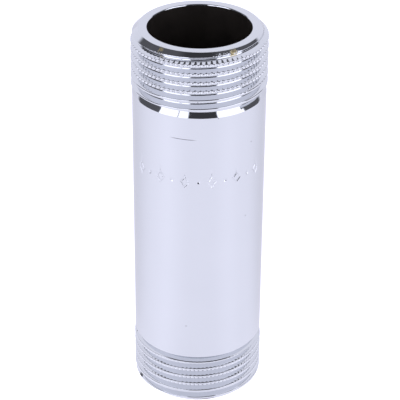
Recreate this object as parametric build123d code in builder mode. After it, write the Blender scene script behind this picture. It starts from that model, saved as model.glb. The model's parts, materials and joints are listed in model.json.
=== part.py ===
from build123d import *

import os
from math import ceil, cos, radians, tan

# Barrel nipple: a straight brass tube with a right-hand male pipe thread on each end, plated with
# nickel and chrome. Millimetres. +Z runs up the pipe axis, and the origin is the centre of the
# lower end face.

# Driving dimensions, all measured over the plating
length = 80.0
barrel_diameter = 26.1
bore_diameter = 20.0
plating_thickness = 0.05

# G 3/4 thread: 14 turns to the inch, 55 degree Whitworth flanks
thread_diameter = 26.441
thread_pitch = 25.4 / 14
flank_angle = radians(55 / 2)
crest_width = 0.46
root_width = 0.20

# Both ends: face, chamfer down to the thread crests, and countersunk mouth of the bore
face_diameter = 23.46
end_chamfer_height = 1.49
mouth_chamfer = 0.35

# Each end's threaded length runs from its face to the edge of the barrel. The shoulder cone and
# the undercut between it and the last thread are included. The groove stops at the setback before
# the middle of the undercut.
upper_threaded_length = 13.15
upper_shoulder_height = 1.07
upper_undercut_diameter = 24.96
upper_undercut_width = 0.06
upper_groove_setback = 0.0
lower_threaded_length = 11.87
lower_shoulder_height = 0.36
lower_undercut_diameter = 23.86
lower_undercut_width = 0.20
lower_groove_setback = 0.37

# The upper end is turned this many degrees about the axis before it is turned over onto the lower
upper_thread_turn = 21.7

# The groove's cutter comes in from outside the face and stands clear of the crests
cutter_lead_in = 0.8
cutter_clearance = 0.4

# Derived sizes
barrel_radius = barrel_diameter / 2
bore_radius = bore_diameter / 2
face_radius = face_diameter / 2
crest_radius = thread_diameter / 2
thread_depth = (thread_pitch - crest_width - root_width) / 2 / tan(flank_angle)
root_radius = crest_radius - thread_depth
middle = length / 2


def half_tube(
    threaded_length, shoulder_height, undercut_diameter, undercut_width, groove_setback, skin
):
    """Half of the tube, its face at z = 0 and its cut middle above, moved in by skin outside."""
    undercut_radius = undercut_diameter / 2
    undercut_end = threaded_length - shoulder_height
    undercut_start = undercut_end - undercut_width
    last_crest_edge = undercut_start - (crest_radius - undercut_radius) * tan(flank_angle)
    groove_end = undercut_end - undercut_width / 2 - groove_setback

    # The V of the groove, wider and deeper by skin measured square to its walls
    half_root = root_width / 2 + skin * (1 / cos(flank_angle) - tan(flank_angle))
    reach = thread_depth + skin + cutter_clearance
    half_mouth = half_root + reach * tan(flank_angle)

    with BuildPart() as half:
        with BuildSketch(Plane.XZ):
            with BuildLine():
                Polyline(
                    (bore_radius, mouth_chamfer),
                    (bore_radius + mouth_chamfer, 0),
                    (face_radius, 0),
                    (crest_radius, end_chamfer_height),
                    (crest_radius, last_crest_edge),
                    (undercut_radius, undercut_start),
                    (undercut_radius, undercut_end),
                    (barrel_radius, threaded_length),
                    (barrel_radius, middle + skin),
                    (bore_radius, middle + skin),
                    close=True,
                )
            make_face()
            if skin > 0:
                # The bore itself isn't plated, so its wall stays where it is
                offset(amount=-skin, kind=Kind.INTERSECTION)
                with Locations((bore_radius, mouth_chamfer)):
                    Rectangle(2 * skin, middle - mouth_chamfer, align=(Align.MIN, Align.MIN))
        revolve(axis=Axis.Z)

        # The groove is cut one turn at a time, each turn starting where the last one stopped
        turns = ceil((cutter_lead_in + groove_end) / thread_pitch)
        for turn in range(turns):
            start_z = turn * thread_pitch - cutter_lead_in
            with BuildLine() as centre_line:
                Helix(
                    pitch=thread_pitch,
                    height=min(thread_pitch, groove_end - start_z),
                    radius=root_radius - skin,
                    center=(0, 0, start_z),
                )
            groove = centre_line.edges()[0]
            with BuildSketch(Plane(origin=groove @ 0, x_dir=(1, 0, 0), z_dir=groove % 0)):
                with BuildLine():
                    Polyline(
                        (0, -half_root),
                        (reach, -half_mouth),
                        (reach, half_mouth),
                        (0, half_root),
                        close=True,
                    )
                make_face()
            sweep(path=groove, is_frenet=True, mode=Mode.SUBTRACT)
    return half.part


def whole_tube(skin):
    """Both halves joined in the middle, the upper one turned over."""
    lower_half = half_tube(
        lower_threaded_length,
        lower_shoulder_height,
        lower_undercut_diameter,
        lower_undercut_width,
        lower_groove_setback,
        skin,
    )
    upper_half = half_tube(
        upper_threaded_length,
        upper_shoulder_height,
        upper_undercut_diameter,
        upper_undercut_width,
        upper_groove_setback,
        skin,
    )
    with BuildPart() as tube:
        add(lower_half)
        with Locations(Location((0, 0, length), (180, 0, upper_thread_turn))):
            add(upper_half)
    return tube.part


def plated_faces(tube):
    """Every face of a whole tube but the wall of its bore, the face nearest to the axis."""
    bore_wall, *plated = tube.faces().sort_by_distance((0, 0, middle))
    return plated


bare_tube = whole_tube(plating_thickness)
finished_tube = whole_tube(0)

# Turned and threaded brass tube, one piece of metal from end to end
with BuildPart() as brass_body:
    add(bare_tube)

# Nickel and chrome skin over the threads, the barrel, both faces and the mouths of the bore. Its
# two sides meet at the foot of each mouth's chamfer.
with BuildPart() as chrome_plating:
    add(Solid(Shell(plated_faces(finished_tube) + plated_faces(bare_tube))))

os.makedirs("parts", exist_ok=True)

brass_body.part.label = "brass_body"
export_step(brass_body.part, "parts/brass_body.step")

chrome_plating.part.label = "chrome_plating"
export_step(chrome_plating.part, "parts/chrome_plating.step")
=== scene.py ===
import json
import math

import bpy
import numpy as np
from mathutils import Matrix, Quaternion, Vector


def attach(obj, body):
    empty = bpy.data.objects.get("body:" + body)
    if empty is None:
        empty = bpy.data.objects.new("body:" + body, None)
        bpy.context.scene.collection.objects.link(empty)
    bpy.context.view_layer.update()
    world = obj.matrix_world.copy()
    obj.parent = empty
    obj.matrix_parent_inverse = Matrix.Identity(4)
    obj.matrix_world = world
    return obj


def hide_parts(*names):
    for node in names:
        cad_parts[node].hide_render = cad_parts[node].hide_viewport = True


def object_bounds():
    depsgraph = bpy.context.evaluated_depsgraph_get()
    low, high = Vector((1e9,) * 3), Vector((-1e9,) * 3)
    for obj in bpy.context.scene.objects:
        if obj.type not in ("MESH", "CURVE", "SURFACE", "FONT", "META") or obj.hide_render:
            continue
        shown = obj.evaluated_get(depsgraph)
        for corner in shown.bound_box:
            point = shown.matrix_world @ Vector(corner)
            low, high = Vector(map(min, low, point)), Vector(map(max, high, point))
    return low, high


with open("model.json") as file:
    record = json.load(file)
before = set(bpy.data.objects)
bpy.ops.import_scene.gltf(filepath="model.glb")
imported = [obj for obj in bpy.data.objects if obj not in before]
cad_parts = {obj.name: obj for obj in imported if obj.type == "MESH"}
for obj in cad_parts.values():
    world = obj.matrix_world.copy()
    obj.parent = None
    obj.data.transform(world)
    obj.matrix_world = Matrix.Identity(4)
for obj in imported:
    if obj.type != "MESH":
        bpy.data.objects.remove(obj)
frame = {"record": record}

# Chrome-plated pipe nipple, standing on a white floor. Shapes are worked out in millimetres in the
# row frame and written in metres. Each end of the nipple is described from its own face: depth is
# the distance in from that face, and the angle is taken about the axis.

MM = 0.001
TAU = 2 * math.pi

# The side that faces the camera, as an angle about the row frame's Z axis
FRONT = -math.pi / 2

cad_low, cad_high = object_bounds()
dims = {mount["name"]: mount["dims"] for mount in frame["record"]["mounts"]}

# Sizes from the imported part
length = (cad_high.z - cad_low.z) / MM
bore_radius = dims["bore"]["r_mm"]
barrel_radius = dims["barrel"]["r_mm"]
crest_radius = dims["upper_thread"]["r_mm"]
mouth_chamfer = (length - dims["bore"]["length_mm"]) / 2

# Thread form and end details, as in the CAD part
pitch = 25.4 / 14
flank_slope = 1 / math.tan(math.radians(55 / 2))
crest_width = 0.46
root_radius = 12.112
face_radius = 11.73
groove_lead_in = 0.8

# Softened corners that the CAD part leaves sharp
root_round = 0.08
edge_round = 0.05

# The plating's skin is drawn this much thicker than real plating, inwards, where it isn't seen
plating_inset = 0.25

# The two ends: how the end sits on the tube, its undercut and shoulder cone, where its groove
# stops, the slope beside its root, the knurl pressed into the thread crests, and how many columns
# of faces go round it
UPPER = {
    "flipped": True,
    "turn": math.radians(21.7),
    "undercut_start": dims["upper_thread"]["length_mm"],
    "undercut_radius": 12.48,
    "undercut_width": 0.06,
    "shoulder_height": 1.07,
    "groove_end": 12.05,
    "root_slope": math.tan(math.radians(28)),
    "crest_round": 0.10,
    "knurls": 80,
    "knurl_angle": math.radians(1.2),
    "knurl_start": 1.5,
    "knurl_end": 9.0,
    "knurl_depth": 0.30,
    "columns": 480,
}
LOWER = {
    "flipped": False,
    "turn": 0.0,
    "undercut_start": dims["lower_thread"]["length_mm"],
    "undercut_radius": 11.93,
    "undercut_width": 0.20,
    "shoulder_height": 0.36,
    "groove_end": 11.04,
    "root_slope": 0.0,
    "crest_round": 0.04,
    "knurls": 100,
    "knurl_angle": math.radians(1.4),
    "knurl_start": 3.6,
    "knurl_end": 10.5,
    "knurl_depth": 0.19,
    "columns": 400,
}

# The root's slope starts this far before the middle of the groove, and the groove's end wall is
# this long
SLOPE_LEAD = 0.05
GROOVE_END_WALL = 0.012

# One pit of the knurl, as the distances from its middle where it is a third as deep; how far the
# knurl fades at either end of its band; and the shallowest pit's share of the full depth
PIT_WIDTH = 0.25
PIT_LENGTH = 0.24
KNURL_FADE = 0.3
SHALLOWEST_PIT = 0.8

# Torn metal on the upper chamfer, in two stretches. Each begins and ends over these degrees round
# from the front and over these depths.
TORN_LEFT = {
    "begins": (-43, -40),
    "ends": (-12, -9),
    "upper_edge": (0.75, 1.15),
    "lower_edge": (1.5, 1.8),
    "height": 0.05,
}
TORN_RIGHT = {
    "begins": (11, 15),
    "ends": (33, 37),
    "upper_edge": (0.35, 0.6),
    "lower_edge": (1.5, 1.9),
    "height": 0.09,
}

# Waves in the torn metal: jagged ones lean as they go in, and uneven ones cross them
JAGGED_WAVES = (67, 103, 149, 211)
JAGGED_LEAN = 0.05
UNEVEN_WAVES = (1, 1.7, 2.3)
UNEVEN_ROUND = 60
UNEVEN_INWARDS = 9

# Where the mesh has a row along the thread, as distances from the middle of a crest
CREST_ROWS = (-0.28, -0.21, -0.10, 0.0, 0.10, 0.21, 0.28)
ROOT_ROWS = (0.71, 0.80, pitch / 2, pitch - 0.80, pitch - 0.71)

# Rings of the mesh: in the rounded mouth of the bore, on either side of the crests' last edge,
# down the undercut's wall, beside its corners, and up the foot of the shoulder cone
MOUTH_STEPS = 4
LAST_THREAD_RING = 0.02
FIRST_WALL_RING = 0.03
WALL_RINGS = 6
CORNER_GAP = 0.01
CONE_RINGS_START = 0.06
CONE_RINGS_STOP = 0.45
CONE_RING_STEP = 0.08

# Steps over which slopes are taken, in radians round and in millimetres along
FINE_STEP = 1e-4
MARK_SLOPE_STEP = 1e-3


def smooth_min(a, b, blend):
    """The smaller of two heights, with the corner between them rounded."""
    return np.minimum(a, b) - np.maximum(blend - np.abs(a - b), 0) ** 2 / (4 * blend)


def smooth_max(a, b, blend):
    """The larger of two heights, with the corner between them rounded."""
    return -smooth_min(-a, -b, blend)


def smooth_step(x, low, high):
    """0 below low and 1 above high, with a smooth rise between them."""
    t = np.clip((x - low) / (high - low), 0, 1)
    return t * t * (3 - 2 * t)


def within(x, begins, ends):
    """1 between two pairs of limits and 0 outside them, with a smooth step over each pair."""
    return smooth_step(x, *begins) * (1 - smooth_step(x, *ends))


def ripple(angle, waves, seed):
    """An even mix of sine waves round the axis, about -1 to 1."""
    random = np.random.default_rng(seed)
    total = np.zeros_like(angle)
    for count in waves:
        total = total + np.cos(count * angle + random.uniform(0, TAU))
    return total / math.sqrt(len(waves))


def world_angle(end, angle):
    """An angle of one end, as the angle about the row frame's Z axis."""
    return -(angle + end["turn"]) if end["flipped"] else angle


def knurl_dents(end, angle, depth, from_crest):
    """How deep the knurl wheel pressed its pits into the thread at this place."""
    turns = (world_angle(end, angle) - FRONT - end["knurl_angle"]) / TAU * end["knurls"]
    nearest = np.round(turns)
    across = (turns - nearest) * TAU * crest_radius / end["knurls"]
    begins = (end["knurl_start"] - KNURL_FADE, end["knurl_start"] + KNURL_FADE)
    ends = (end["knurl_end"] - KNURL_FADE, end["knurl_end"] + KNURL_FADE)
    band = within(depth, begins, ends)
    pit = np.exp(-((across / PIT_WIDTH) ** 2) - (from_crest / PIT_LENGTH) ** 2)
    strength = np.random.default_rng(3).uniform(SHALLOWEST_PIT, 1.0, end["knurls"])
    return end["knurl_depth"] * band * pit * strength[nearest.astype(int) % end["knurls"]]


def torn_height(stretch, bearing, depth):
    """How high one stretch of torn metal can stand at this place."""
    share = within(bearing, stretch["begins"], stretch["ends"])
    share = share * within(depth, stretch["upper_edge"], stretch["lower_edge"])
    return stretch["height"] * share


def torn_metal(end, angle, depth):
    """How far the chamfer is torn up or down where the thread's first turn breaks through it."""
    if not end["flipped"]:
        return 0.0
    bearing = np.degrees(world_angle(end, angle) - FRONT)
    bearing = np.mod(bearing + 180, 360) - 180
    jagged = ripple(angle + JAGGED_LEAN * depth, JAGGED_WAVES, seed=5)
    uneven = ripple(angle * UNEVEN_ROUND + depth * UNEVEN_INWARDS, UNEVEN_WAVES, seed=8)
    left = torn_height(TORN_LEFT, bearing, depth) * jagged
    right = torn_height(TORN_RIGHT, bearing, depth) * (jagged + uneven) / 2
    return left + right


def end_radius(end, angle, depth, detailed):
    """Outside radius of one end, from the edge of its face to the barrel."""
    crest_depth = pitch / 2 - groove_lead_in + pitch * angle / TAU
    from_crest = depth - crest_depth
    from_crest = from_crest - pitch * np.round(from_crest / pitch)
    flank = crest_radius - (np.abs(from_crest) - crest_width / 2) * flank_slope
    groove_depth = depth - from_crest + np.copysign(pitch / 2, from_crest)

    # The foot of each flank that faces up is cut at the root's slope
    beside_root = (depth - groove_depth) * (1 if end["flipped"] else -1)
    root = root_radius + end["root_slope"] * np.maximum(beside_root + SLOPE_LEAD, 0)
    radius = smooth_max(smooth_min(flank, crest_radius, end["crest_round"]), root, root_round)

    # Past the end of the groove the metal is whole
    uncut = smooth_step(groove_depth, end["groove_end"], end["groove_end"] + GROOVE_END_WALL)
    radius = radius + (crest_radius - radius) * uncut

    # The end chamfer is at 45 degrees
    chamfer = face_radius + depth
    if detailed:
        radius = radius - knurl_dents(end, angle, depth, from_crest)
        chamfer = chamfer + torn_metal(end, angle, depth)

    start, floor_radius = end["undercut_start"], end["undercut_radius"]
    foot = start + end["undercut_width"]
    cone_slope = (barrel_radius - floor_radius) / end["shoulder_height"]
    wall = floor_radius + np.maximum(start - depth, 0) * flank_slope
    cone = floor_radius + np.maximum(depth - foot, 0) * cone_slope
    undercut = np.where(depth < start, wall, smooth_min(cone, barrel_radius, edge_round))
    return smooth_min(smooth_min(radius, chamfer, edge_round), undercut, edge_round)


class Surface:
    """Points, their normals and the faces between them, built up ring by ring."""

    def __init__(self):
        self.points = []
        self.normals = []
        self.faces = []
        self.count = 0

    def add(self, angle, radius, height, normal_out, normal_round, normal_up):
        """Adds points given about the row frame's Z axis, and returns their numbers."""
        angle, radius, height, out, sideways, up = np.broadcast_arrays(
            angle, radius, height, normal_out, normal_round, normal_up
        )
        cos, sin = np.cos(angle), np.sin(angle)
        self.points.append(np.stack([radius * cos, radius * sin, height], -1))
        self.normals.append(np.stack([out * cos - sideways * sin, out * sin + sideways * cos, up], -1))
        first = self.count
        self.count += len(angle)
        return np.arange(first, self.count)

    def ring(self, angle, radius, height, normal_out, normal_up):
        """Adds a plain ring about the axis."""
        numbers = self.add(angle, radius, height, normal_out, 0.0, normal_up)
        return sorted_ring(numbers, angle)

    def join(self, first, second):
        """Closes the strip between two rings, which run anticlockwise seen from above."""
        (a, a_angle), (b, b_angle) = first, second
        if len(a) == len(b) and np.allclose(a_angle, b_angle):
            a_next, b_next = np.roll(a, -1), np.roll(b, -1)
            self.faces.extend(zip(a.tolist(), a_next.tolist(), b_next.tolist(), b.tolist()))
            return
        a_ends = np.append(a_angle[1:], a_angle[0] + TAU)
        b_ends = np.append(b_angle[1:], b_angle[0] + TAU)
        i = j = 0
        while i < len(a) or j < len(b):
            on_a, on_b = int(a[i % len(a)]), int(b[j % len(b)])
            if j == len(b) or (i < len(a) and a_ends[i] <= b_ends[j]):
                i += 1
                self.faces.append((on_a, int(a[i % len(a)]), on_b))
            else:
                j += 1
                self.faces.append((on_a, int(b[j % len(b)]), on_b))

    def flip(self, first_face):
        """Turns every face from that one on inside out."""
        self.faces[first_face:] = [face[::-1] for face in self.faces[first_face:]]

    def to_object(self, name, material):
        """The surface as a mesh in metres. Its normals come from the shape's formula."""
        points = np.concatenate(self.points) * MM
        normals = np.concatenate(self.normals)
        mesh = bpy.data.meshes.new(name)
        mesh.from_pydata(points.tolist(), [], self.faces)
        mesh.polygons.foreach_set("use_smooth", [True] * len(mesh.polygons))
        mesh.normals_split_custom_set_from_vertices(normals.tolist())
        mesh.materials.append(material)
        mesh.update()
        piece = bpy.data.objects.new(name, mesh)
        bpy.context.scene.collection.objects.link(piece)
        return piece


def sorted_ring(numbers, angle):
    """A ring's points in order round the axis, with their angles."""
    angle = np.mod(angle, TAU)
    order = np.argsort(angle)
    return numbers[order], angle[order]


def end_ring(surface, end, columns, radius, depth, normal_out, normal_in):
    """A plain ring on one end, its normal given outwards and inwards along the axis."""
    angle = world_angle(end, np.arange(columns) * TAU / columns)
    if end["flipped"]:
        return surface.ring(angle, radius, length - depth, normal_out, -normal_in)
    return surface.ring(angle, radius, depth, normal_out, normal_in)


def end_points(surface, end, angle, depth, inset, detailed):
    """Adds points of one end's outside, with normals from the slopes of its formula."""
    radius = end_radius(end, angle, depth, detailed)
    further_in = end_radius(end, angle, depth + FINE_STEP, detailed)
    further_round = end_radius(end, angle + FINE_STEP, depth, detailed)
    slope_in = (further_in - radius) / FINE_STEP
    slope_round = (further_round - radius) / FINE_STEP / radius
    size = np.sqrt(1 + slope_in**2 + slope_round**2)
    out, sideways, inwards = 1 / size, -slope_round / size, -slope_in / size
    if end["flipped"]:
        angle, depth, sideways, inwards = world_angle(end, angle), length - depth, -sideways, -inwards
    return surface.add(angle, radius - inset, depth, out, sideways, inwards)


def last_crest_edge(end):
    """Depth where the crests stop and the undercut's wall starts down."""
    return end["undercut_start"] - (crest_radius - end["undercut_radius"]) / flank_slope


def thread_surface(surface, end, columns, inset, detailed):
    """The threaded stretch, with its rows of faces running along the thread."""
    start = 2 * edge_round
    stop = last_crest_edge(end) - LAST_THREAD_RING
    offsets = np.array(CREST_ROWS + ROOT_ROWS) + pitch / 2 - groove_lead_in
    rows_per_turn = len(offsets)
    turns = np.arange(-2, math.ceil(stop / pitch) + 2)
    at_zero = (offsets[None, :] + pitch * turns[:, None]).ravel()
    column = np.arange(columns)
    depth = at_zero[:, None] + pitch * column[None, :] / columns
    angle = np.broadcast_to(column * TAU / columns, depth.shape)
    inside = (depth > start) & (depth < stop)

    first = whole_ring(surface, end, columns, start, inset, detailed)
    last = whole_ring(surface, end, columns, stop, inset, detailed)
    number = np.where(depth <= start, first[None, :], last[None, :])
    number[inside] = end_points(surface, end, angle[inside], depth[inside], inset, detailed)

    # After a full turn each row carries on as the row one turn further in
    after = np.concatenate([number[rows_per_turn:, :1], np.full((rows_per_turn, 1), last[0])])
    number = np.concatenate([number, after], axis=1).tolist()
    for low, high in zip(number[:-1], number[1:]):
        for i in range(columns):
            corners = dict.fromkeys((low[i], low[i + 1], high[i + 1], high[i]))
            if len(corners) > 2:
                surface.faces.append(tuple(corners))
    return first, last


def whole_ring(surface, end, columns, depth, inset, detailed):
    """A ring of one end's outside at one depth."""
    angle = np.arange(columns) * TAU / columns
    return end_points(surface, end, angle, np.full(columns, depth), inset, detailed)


def mouth_rings(inset):
    """Radius, depth and normal of the rings from the bore to the outer edge of the face."""
    outer = face_radius - edge_round / 2
    if inset:
        level = mouth_chamfer + inset
        return [(bore_radius + inset, level, 0.0, -1.0), (outer - inset, level, 0.0, -1.0)]
    rings = []
    for step in range(MOUTH_STEPS + 1):
        turned = step / MOUTH_STEPS * math.pi / 2
        out = -math.cos(turned)
        inwards = -math.sin(turned)
        radius = bore_radius + mouth_chamfer * (1 + out)
        rings.append((radius, mouth_chamfer * (1 + inwards), out, inwards))
    return [*rings, (outer, 0.0, 0.0, -1.0)]


def end_surface(surface, end, columns, inset=0.0, detailed=False):
    """One end, from the mouth of the bore over the face and the thread to the edge of the barrel."""
    face = [end_ring(surface, end, columns, *ring) for ring in mouth_rings(inset)]
    thread_start, thread_end = thread_surface(surface, end, columns, inset, detailed)
    foot = end["undercut_start"] + end["undercut_width"]
    edge = foot + end["shoulder_height"]
    wall_top = last_crest_edge(end) + FIRST_WALL_RING
    wall = np.linspace(wall_top, end["undercut_start"] - 3 * CORNER_GAP, WALL_RINGS)
    depths = [*wall, end["undercut_start"] + CORNER_GAP, foot - CORNER_GAP, foot + CORNER_GAP]
    if detailed:
        cone_stop = min(foot + CONE_RINGS_STOP, edge - 2 * edge_round)
        depths += np.arange(foot + CONE_RINGS_START, cone_stop, CONE_RING_STEP).tolist()
    depths += [edge - edge_round, edge, edge + edge_round]
    shoulder = [whole_ring(surface, end, columns, depth, inset, detailed) for depth in depths]
    angle = world_angle(end, np.arange(columns) * TAU / columns)
    outside = [sorted_ring(numbers, angle) for numbers in (thread_end, *shoulder)]
    face.append(sorted_ring(thread_start, angle))
    for rings in (face, outside):
        for nearer, further in zip(rings, rings[1:]):
            join_on(surface, end, nearer, further)
    return face[0], outside[-1]


def join_on(surface, end, nearer, further):
    """Joins two rings of one end, the first one nearer its face."""
    if end["flipped"]:
        surface.join(further, nearer)
    else:
        surface.join(nearer, further)


# Punch marks round the barrel: diamonds and dots in turn
MARK_COUNT = 11
MARK_SPACING = math.radians(11.5)
MARK_HEIGHT = 53.2
MARK_DEPTH = 0.13

# A dot is flat to one radius and ends at the other. A diamond is a line round a middle that stays
# raised. Its line runs at a share of these half sizes, and its flat and full half widths are
# shares of them too.
DOT_FLAT = 0.15
DOT_RIM = 0.5
DIAMOND_HALF_WIDTH = 0.95
DIAMOND_HALF_HEIGHT = 1.35
DIAMOND_LINE = 0.8
DIAMOND_LINE_FLAT = 0.08
DIAMOND_LINE_RIM = 0.3

# The barrel's mesh: fine rings across the marks, and plain ones from, to and how many, below and
# above them
MARK_RING_STEP = 0.2
MARK_RINGS_EACH_WAY = 6
PLAIN_RINGS_BELOW = (12.6, MARK_HEIGHT - 1.8, 8)
PLAIN_RINGS_ABOVE = (MARK_HEIGHT + 3, 66.2, 4)
PLAIN_COLUMNS = 120

# The mesh where plating and brass meet, out of sight, and that of the bore's wall
HIDDEN_COLUMNS = 32
BORE_COLUMNS = 240
BORE_RINGS = 40


def barrel_dents(angle, height):
    """Depth of the punch marks on the barrel."""
    dents = np.zeros(np.broadcast(angle, height).shape)
    up = height - MARK_HEIGHT
    for i in range(MARK_COUNT):
        middle = FRONT + (i - (MARK_COUNT - 1) / 2) * MARK_SPACING
        turned = np.mod(angle - middle + math.pi, TAU) - math.pi
        across = turned * barrel_radius
        if i % 2:
            away = np.hypot(across, up)
            dent = 1 - smooth_step(away, DOT_FLAT, DOT_RIM)
        else:
            away = np.abs(across) / DIAMOND_HALF_WIDTH + np.abs(up) / DIAMOND_HALF_HEIGHT
            dent = 1 - smooth_step(np.abs(away - DIAMOND_LINE), DIAMOND_LINE_FLAT, DIAMOND_LINE_RIM)
        dents = np.maximum(dents, MARK_DEPTH * dent)
    return dents


def barrel_ring(surface, angle, height):
    """A ring of the barrel, dented where the marks are."""
    radius = barrel_radius - barrel_dents(angle, height)
    further_up = barrel_radius - barrel_dents(angle, height + MARK_SLOPE_STEP)
    further_round = barrel_radius - barrel_dents(angle + MARK_SLOPE_STEP, height)
    slope_up = (further_up - radius) / MARK_SLOPE_STEP
    slope_round = (further_round - radius) / MARK_SLOPE_STEP / radius
    size = np.sqrt(1 + slope_up**2 + slope_round**2)
    numbers = surface.add(angle, radius, height, 1 / size, -slope_round / size, -slope_up / size)
    return sorted_ring(numbers, angle)


def chrome_surface(inset):
    """The plating: a closed skin, detailed outside and plain inside."""
    surface = Surface()
    low_mouth, low_edge = end_surface(surface, LOWER, LOWER["columns"], detailed=True)
    high_mouth, high_edge = end_surface(surface, UPPER, UPPER["columns"], detailed=True)

    plain = np.arange(PLAIN_COLUMNS) * TAU / PLAIN_COLUMNS
    fine = high_edge[1]
    steps = range(-MARK_RINGS_EACH_WAY, MARK_RINGS_EACH_WAY + 1)
    rings = [low_edge]
    rings += [barrel_ring(surface, plain, height) for height in np.linspace(*PLAIN_RINGS_BELOW)]
    rings += [barrel_ring(surface, fine, MARK_HEIGHT + step * MARK_RING_STEP) for step in steps]
    rings += [barrel_ring(surface, plain, height) for height in np.linspace(*PLAIN_RINGS_ABOVE)]
    rings.append(high_edge)
    for a, b in zip(rings, rings[1:]):
        surface.join(a, b)

    first_inner = len(surface.faces)
    inner_low_mouth, inner_high_mouth = plain_outside(surface, inset)
    surface.flip(first_inner)
    surface.join(high_mouth, inner_high_mouth)
    surface.join(inner_low_mouth, low_mouth)
    return surface


def plain_outside(surface, inset):
    """The surface where the plating meets the brass."""
    low_mouth, low_edge = end_surface(surface, LOWER, HIDDEN_COLUMNS, inset)
    high_mouth, high_edge = end_surface(surface, UPPER, HIDDEN_COLUMNS, inset)
    surface.join(low_edge, high_edge)
    return low_mouth, high_mouth


def brass_surface(inset):
    """The brass tube under the plating, with the bare wall of the bore."""
    surface = Surface()
    low_mouth, high_mouth = plain_outside(surface, inset)
    angle = np.arange(BORE_COLUMNS) * TAU / BORE_COLUMNS
    heights = np.linspace(length - mouth_chamfer, mouth_chamfer, BORE_RINGS)
    rings = [surface.ring(angle, bore_radius, height, -1.0, 0.0) for height in heights]
    rings = [high_mouth, *rings, low_mouth]
    for a, b in zip(rings, rings[1:]):
        surface.join(a, b)
    return surface


class Nodes:
    """A node tree, with short ways to write sums as nodes."""

    def __init__(self, tree):
        self.tree = tree
        tree.nodes.clear()

    def new(self, kind, **settings):
        """A new node of that kind, with its settings."""
        node = self.tree.nodes.new(kind)
        for name, value in settings.items():
            setattr(node, name, value)
        return node

    def feed(self, socket, value):
        """Links a socket, or sets it to a number or colour."""
        if isinstance(value, bpy.types.NodeSocket):
            self.tree.links.new(value, socket)
        else:
            socket.default_value = value

    def math(self, operation, *values):
        """The result of one operation on numbers or sockets."""
        node = self.new("ShaderNodeMath", operation=operation)
        for socket, value in zip(node.inputs, values):
            self.feed(socket, value)
        return node.outputs[0]

    def ramp(self, value, low, high, start=0.0, end=1.0):
        """From start to end, smoothly, as value goes from low to high."""
        node = self.new("ShaderNodeMapRange", interpolation_type="SMOOTHSTEP")
        names = ("Value", "From Min", "From Max", "To Min", "To Max")
        for name, given in zip(names, (value, low, high, start, end)):
            self.feed(node.inputs[name], given)
        return node.outputs["Result"]

    def window(self, value, low, high, soft):
        """1 between low and high and 0 outside, with soft edges."""
        rise = self.ramp(value, low - soft, low + soft)
        fall = self.ramp(value, high - soft, high + soft, 1.0, 0.0)
        return self.math("MULTIPLY", rise, fall)

    def blend(self, share, a, b):
        """The colour a where share is 0 and b where it is 1."""
        node = self.new("ShaderNodeMix", data_type="RGBA")
        self.feed(node.inputs["Factor"], share)
        self.feed(node.inputs[6], a)
        self.feed(node.inputs[7], b)
        return node.outputs[2]

    def bearing(self, x, y):
        """Degrees round the Z axis from the front, positive towards +X."""
        turn = self.math("ARCTAN2", x, self.math("MULTIPLY", y, -1.0))
        return self.math("DEGREES", turn)

    def noise(self, place, scale, detail):
        """Noise from 0 to 1, its scale in cycles to the metre."""
        node = self.new("ShaderNodeTexNoise")
        self.feed(node.inputs["Vector"], place)
        self.feed(node.inputs["Scale"], scale)
        self.feed(node.inputs["Detail"], detail)
        return node.outputs["Fac"]


# Places of the upper chamfer where brass shows through the chrome: degrees round from the front,
# and heights, each with a soft edge
WORN_LEFT = (-38.0, -33.5, 0.8)
WORN_RIGHT = (27.5, 34.5, 0.8)
WORN_HEIGHTS = ((length - 1.3) * MM, (length - 0.15) * MM, 0.2 * MM)

# A short scratch across the barrel: its height at the axis, its slope, where it begins and ends
# across the barrel with a soft edge, and its half width at the bottom and at the rim
SCRATCH_HEIGHT = 62.225 * MM
SCRATCH_SLOPE = -0.019
SCRATCH_ACROSS = (-5.0 * MM, -0.9 * MM, 0.8 * MM)
SCRATCH_BOTTOM = 0.03 * MM
SCRATCH_RIM = 0.10 * MM


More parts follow.
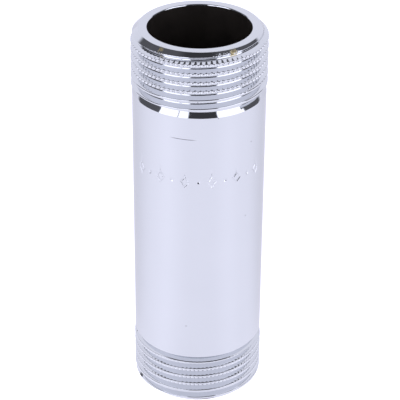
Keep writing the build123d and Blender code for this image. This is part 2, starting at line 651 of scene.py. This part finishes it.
def chrome_material():
    """Bright chrome over brass, with faint clouding, fine pits, a scratch and two worn places."""
    material = bpy.data.materials.new("chrome")
    material.use_nodes = True
    nodes = Nodes(material.node_tree)
    place = nodes.new("ShaderNodeTexCoord").outputs["Object"]
    axes = nodes.new("ShaderNodeSeparateXYZ")
    nodes.feed(axes.inputs[0], place)
    x, y, z = axes.outputs
    bearing = nodes.bearing(x, y)

    cloud = nodes.noise(place, 90.0, 3.0)
    colour = nodes.blend(cloud, (0.69, 0.71, 0.735, 1), (0.72, 0.74, 0.765, 1))

    # The brass is ragged where it shows, and rougher than the chrome
    patch = nodes.noise(place, 1400.0, 3.0)
    left = nodes.window(bearing, *WORN_LEFT)
    right = nodes.window(bearing, *WORN_RIGHT)
    worn = nodes.math("MAXIMUM", left, right)
    worn = nodes.math("MULTIPLY", worn, nodes.window(z, *WORN_HEIGHTS))
    worn = nodes.math("MULTIPLY", worn, nodes.ramp(patch, 0.38, 0.50))
    colour = nodes.blend(worn, colour, (0.55, 0.47, 0.27, 1))

    # The scratch is on the front only
    middle = nodes.math("MULTIPLY_ADD", x, SCRATCH_SLOPE, SCRATCH_HEIGHT)
    scratch = nodes.math("ABSOLUTE", nodes.math("SUBTRACT", z, middle))
    scratch = nodes.ramp(scratch, SCRATCH_BOTTOM, SCRATCH_RIM, 1.0, 0.0)
    scratch = nodes.math("MULTIPLY", scratch, nodes.window(x, *SCRATCH_ACROSS))
    scratch = nodes.math("MULTIPLY", scratch, nodes.ramp(y, -MM, MM, 1.0, 0.0))
    colour = nodes.blend(scratch, colour, (0.22, 0.22, 0.25, 1))

    # Dark pits scattered over the chrome, under 0.4 mm across
    pits = nodes.new("ShaderNodeTexVoronoi")
    nodes.feed(pits.inputs["Vector"], place)
    nodes.feed(pits.inputs["Scale"], 260.0)
    pit = nodes.ramp(pits.outputs["Distance"], 0.02, 0.05, 1.0, 0.0)
    colour = nodes.blend(nodes.math("MULTIPLY", pit, 0.7), colour, (0.30, 0.30, 0.33, 1))

    grain = nodes.noise(place, 2600.0, 3.0)
    bump = nodes.new("ShaderNodeBump")
    nodes.feed(bump.inputs["Strength"], 0.05)
    nodes.feed(bump.inputs["Distance"], 0.02 * MM)
    nodes.feed(bump.inputs["Height"], grain)

    shader = nodes.new("ShaderNodeBsdfPrincipled")
    nodes.feed(shader.inputs["Base Color"], colour)
    nodes.feed(shader.inputs["Metallic"], 1.0)
    roughness = nodes.ramp(cloud, 0.3, 0.7, 0.05, 0.08)
    nodes.feed(shader.inputs["Roughness"], nodes.math("MULTIPLY_ADD", worn, 0.35, roughness))
    nodes.feed(shader.inputs["Normal"], bump.outputs[0])
    output = nodes.new("ShaderNodeOutputMaterial")
    nodes.feed(output.inputs["Surface"], shader.outputs[0])
    return material


def brass_material():
    """Bare brass in the bore, dull and rough, its colour darkened nearly black as painted shade of the
    deep bore.
    """
    material = bpy.data.materials.new("brass")
    material.use_nodes = True
    nodes = Nodes(material.node_tree)
    place = nodes.new("ShaderNodeTexCoord").outputs["Object"]
    cloud = nodes.noise(place, 300.0, 4.0)
    # Painted shade: the brass's colour is set nearly black, far darker than dull brass, for the shade
    # deep in the bore
    colour = nodes.blend(cloud, (0.020, 0.016, 0.014, 1), (0.045, 0.036, 0.028, 1))
    shader = nodes.new("ShaderNodeBsdfPrincipled")
    nodes.feed(shader.inputs["Base Color"], colour)
    nodes.feed(shader.inputs["Metallic"], 0.6)
    nodes.feed(shader.inputs["Roughness"], nodes.ramp(cloud, 0.3, 0.7, 0.55, 0.7))
    output = nodes.new("ShaderNodeOutputMaterial")
    nodes.feed(output.inputs["Surface"], shader.outputs[0])
    return material


# The studio, in degrees round from the front and degrees up, each pair with its soft edge: the
# softboxes, a seam in the left one, and how high both stand
LEFT_SOFTBOX = (-68.0, -18.0, 1.5)
RIGHT_SOFTBOX = (31.0, 79.0, 1.5)
SOFTBOX_SEAM = (-36.0, -34.0, 0.8)
SOFTBOX_HEIGHTS = (-5.0, 44.0, 3.0)

# The backdrop's edge is this far round from the front. Low down it is further round, by a shift
# and a share of the height, and it changes between two heights.
BACKDROP_EDGE = 107.0
BACKDROP_LOW_SHIFT = 12.0
BACKDROP_LOW_SHARE = 0.35
BACKDROP_CHANGE = (29.0, 39.0)

# How bright each thing is in the chrome, and how bright the backdrop is and how much brighter the
# floor is when seen straight on
GAP_LIGHT = 0.055
ROOM_LIGHT = 0.12
SOFTBOX_LIGHT = 1.9
BACKDROP_LIGHT = 0.90
BACKDROP_SEEN = 1.25
FLOOR_SEEN = 0.5

# The floor's painted pools of light, in degrees round from the front with soft edges
LEFT_POOL = (-70.0, -34.0, 26.0)
RIGHT_POOL = (38.0, 62.0, 22.0)
LEFT_POOL_LIGHT = 0.10
RIGHT_POOL_LIGHT = 0.07


def studio_world():
    """A dark studio with a pale backdrop and a low softbox on each side of the camera."""
    world = bpy.data.worlds.new("studio")
    world.use_nodes = True
    nodes = Nodes(world.node_tree)
    direction = nodes.new("ShaderNodeTexCoord").outputs["Generated"]
    axes = nodes.new("ShaderNodeSeparateXYZ")
    nodes.feed(axes.inputs[0], direction)
    x, y, z = axes.outputs
    bearing = nodes.bearing(x, y)
    aside = nodes.math("ABSOLUTE", bearing)
    height = nodes.math("DEGREES", nodes.math("ARCSINE", z))

    # The gap between the softboxes, where the camera stands, is the darkest
    room = nodes.ramp(aside, 30.0, 60.0, GAP_LIGHT, ROOM_LIGHT)

    shift = nodes.math("MULTIPLY_ADD", height, BACKDROP_LOW_SHARE, BACKDROP_LOW_SHIFT)
    low = nodes.ramp(height, *BACKDROP_CHANGE, 1.0, 0.0)
    edge = nodes.math("MULTIPLY_ADD", low, shift, BACKDROP_EDGE)
    backdrop = nodes.ramp(nodes.math("SUBTRACT", aside, edge), -5.0, 5.0)
    light = nodes.math("MULTIPLY_ADD", backdrop, BACKDROP_LIGHT, room)

    left = nodes.window(bearing, *LEFT_SOFTBOX)
    seam = nodes.window(bearing, *SOFTBOX_SEAM)
    left = nodes.math("MULTIPLY", left, nodes.math("MULTIPLY_ADD", seam, -0.75, 1.0))
    right = nodes.window(bearing, *RIGHT_SOFTBOX)
    panels = nodes.math("MAXIMUM", left, right)
    panels = nodes.math("MULTIPLY", panels, nodes.window(height, *SOFTBOX_HEIGHTS))
    light = nodes.math("MULTIPLY_ADD", panels, SOFTBOX_LIGHT, light)

    # Seen straight on, the backdrop is plain white
    seen = nodes.new("ShaderNodeLightPath").outputs["Is Camera Ray"]
    light = nodes.math("MAXIMUM", light, nodes.math("MULTIPLY", seen, BACKDROP_SEEN))
    background = nodes.new("ShaderNodeBackground")
    nodes.feed(background.inputs["Color"], (0.87, 0.875, 1, 1))
    nodes.feed(background.inputs["Strength"], light)
    output = nodes.new("ShaderNodeOutputWorld")
    nodes.feed(output.inputs["Surface"], background.outputs[0])
    bpy.context.scene.world = world


def floor_material():
    """White floor that glows with painted light: a painted pool of light under each softbox and
    painted shade behind the nipple. It isn't seen from below.
    """
    material = bpy.data.materials.new("floor")
    material.use_nodes = True
    nodes = Nodes(material.node_tree)
    place = nodes.new("ShaderNodeTexCoord").outputs["Object"]
    axes = nodes.new("ShaderNodeSeparateXYZ")
    nodes.feed(axes.inputs[0], place)
    bearing = nodes.bearing(axes.outputs["X"], axes.outputs["Y"])
    # Painted light: the floor's glow is painted fainter behind the nipple, with a painted pool of
    # light under each softbox
    glow = nodes.ramp(nodes.math("ABSOLUTE", bearing), 80.0, 150.0, 0.98, 0.72)
    glow = nodes.math("MULTIPLY_ADD", nodes.window(bearing, *LEFT_POOL), LEFT_POOL_LIGHT, glow)
    glow = nodes.math("MULTIPLY_ADD", nodes.window(bearing, *RIGHT_POOL), RIGHT_POOL_LIGHT, glow)

    # Seen straight on, the floor is as white as the backdrop
    seen = nodes.new("ShaderNodeLightPath").outputs["Is Camera Ray"]
    glow = nodes.math("MULTIPLY_ADD", seen, FLOOR_SEEN, glow)
    emission = nodes.new("ShaderNodeEmission")
    nodes.feed(emission.inputs["Color"], (0.87, 0.865, 1, 1))
    nodes.feed(emission.inputs["Strength"], glow)
    diffuse = nodes.new("ShaderNodeBsdfDiffuse")
    nodes.feed(diffuse.inputs["Color"], (0.25, 0.25, 0.25, 1))
    lit = nodes.new("ShaderNodeAddShader")
    nodes.feed(lit.inputs[0], diffuse.outputs[0])
    nodes.feed(lit.inputs[1], emission.outputs[0])
    clear = nodes.new("ShaderNodeBsdfTransparent")
    sided = nodes.new("ShaderNodeMixShader")
    nodes.feed(sided.inputs[0], nodes.new("ShaderNodeNewGeometry").outputs["Backfacing"])
    nodes.feed(sided.inputs[1], lit.outputs[0])
    nodes.feed(sided.inputs[2], clear.outputs[0])
    output = nodes.new("ShaderNodeOutputMaterial")
    nodes.feed(output.inputs["Surface"], sided.outputs[0])
    return material


def floor():
    """A square floor under the nipple."""
    reach = 2000 * MM
    mesh = bpy.data.meshes.new("floor")
    corners = [(-reach, -reach), (reach, -reach), (reach, reach), (-reach, reach)]
    mesh.from_pydata([(x, y, cad_low.z) for x, y in corners], [], [(0, 1, 2, 3)])
    mesh.materials.append(floor_material())
    piece = bpy.data.objects.new("floor", mesh)
    bpy.context.scene.collection.objects.link(piece)


# The camera looks down by its tilt at a target just right of the axis and above the middle
CAMERA_LENS = 145.2
CAMERA_TILT = math.radians(30.65)
CAMERA_ROLL = math.radians(0.43)
CAMERA_TARGET = Vector((0.31, 0.0, length / 2 + 1.50))
CAMERA_DISTANCE = 325.7


def camera():
    """Looks down at the nipple from the front."""
    data = bpy.data.cameras.new("camera")
    data.sensor_width = 36.0
    data.lens = CAMERA_LENS
    piece = bpy.data.objects.new("camera", data)
    bpy.context.scene.collection.objects.link(piece)
    away = Vector((0, -math.cos(CAMERA_TILT), math.sin(CAMERA_TILT))) * CAMERA_DISTANCE
    piece.location = (CAMERA_TARGET + away) * MM
    piece.rotation_mode = "QUATERNION"
    upright = Quaternion((1, 0, 0), math.pi / 2 - CAMERA_TILT)
    piece.rotation_quaternion = upright @ Quaternion((0, 0, 1), CAMERA_ROLL)
    bpy.context.scene.camera = piece


chrome_piece = chrome_surface(plating_inset).to_object("chrome_skin", chrome_material())
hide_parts("chrome_plating")
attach(chrome_piece, "root")

brass_piece = brass_surface(plating_inset).to_object("brass_tube", brass_material())
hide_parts("brass_body")
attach(brass_piece, "root")

floor()
studio_world()
camera()
bpy.context.scene.view_settings.view_transform = "Standard"
